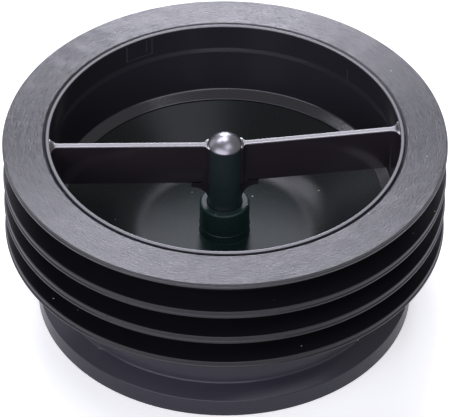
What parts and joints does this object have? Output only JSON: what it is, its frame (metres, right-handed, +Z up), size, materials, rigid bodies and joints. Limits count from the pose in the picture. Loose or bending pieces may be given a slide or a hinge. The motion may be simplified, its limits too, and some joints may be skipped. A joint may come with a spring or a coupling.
{
  "type": "membrane drain trap",
  "caption": "Round drop-in drain trap: plastic barrel with a straight crossbar and central stem, a rubber sleeve with lip fins, and a silicone bowl valve below.",
  "frame": {"origin": "middle of the foot's underside, on the barrel's axis", "axes": "+Z up along the barrel's axis, from the foot to the rim; the crossbar lies along X"},
  "size_m": [0.109, 0.109, 0.05],
  "materials": {
    "moulded_plastic": "glossy black moulded plastic, slightly frosted on the outside",
    "sleeve_rubber": "satin black rubber with faint turned streaks and fine dust on its top face",
    "membrane_silicone": "glossy black silicone with a slight green cast"
  },
  "bodies": {
    "barrel": {"frame": "moulded_plastic", "sealing_sleeve": "sleeve_rubber"},
    "membrane": {"membrane": "membrane_silicone"}
  },
  "joints": [
    {"name": "membrane_drop", "type": "slide", "parent": "barrel", "child": "membrane", "axis": [0, 0, -1], "range_m": [0, 0.005], "stiffness_N_per_m": 120, "springref_m": -0.003, "deforming": ["membrane"]}
  ]
}
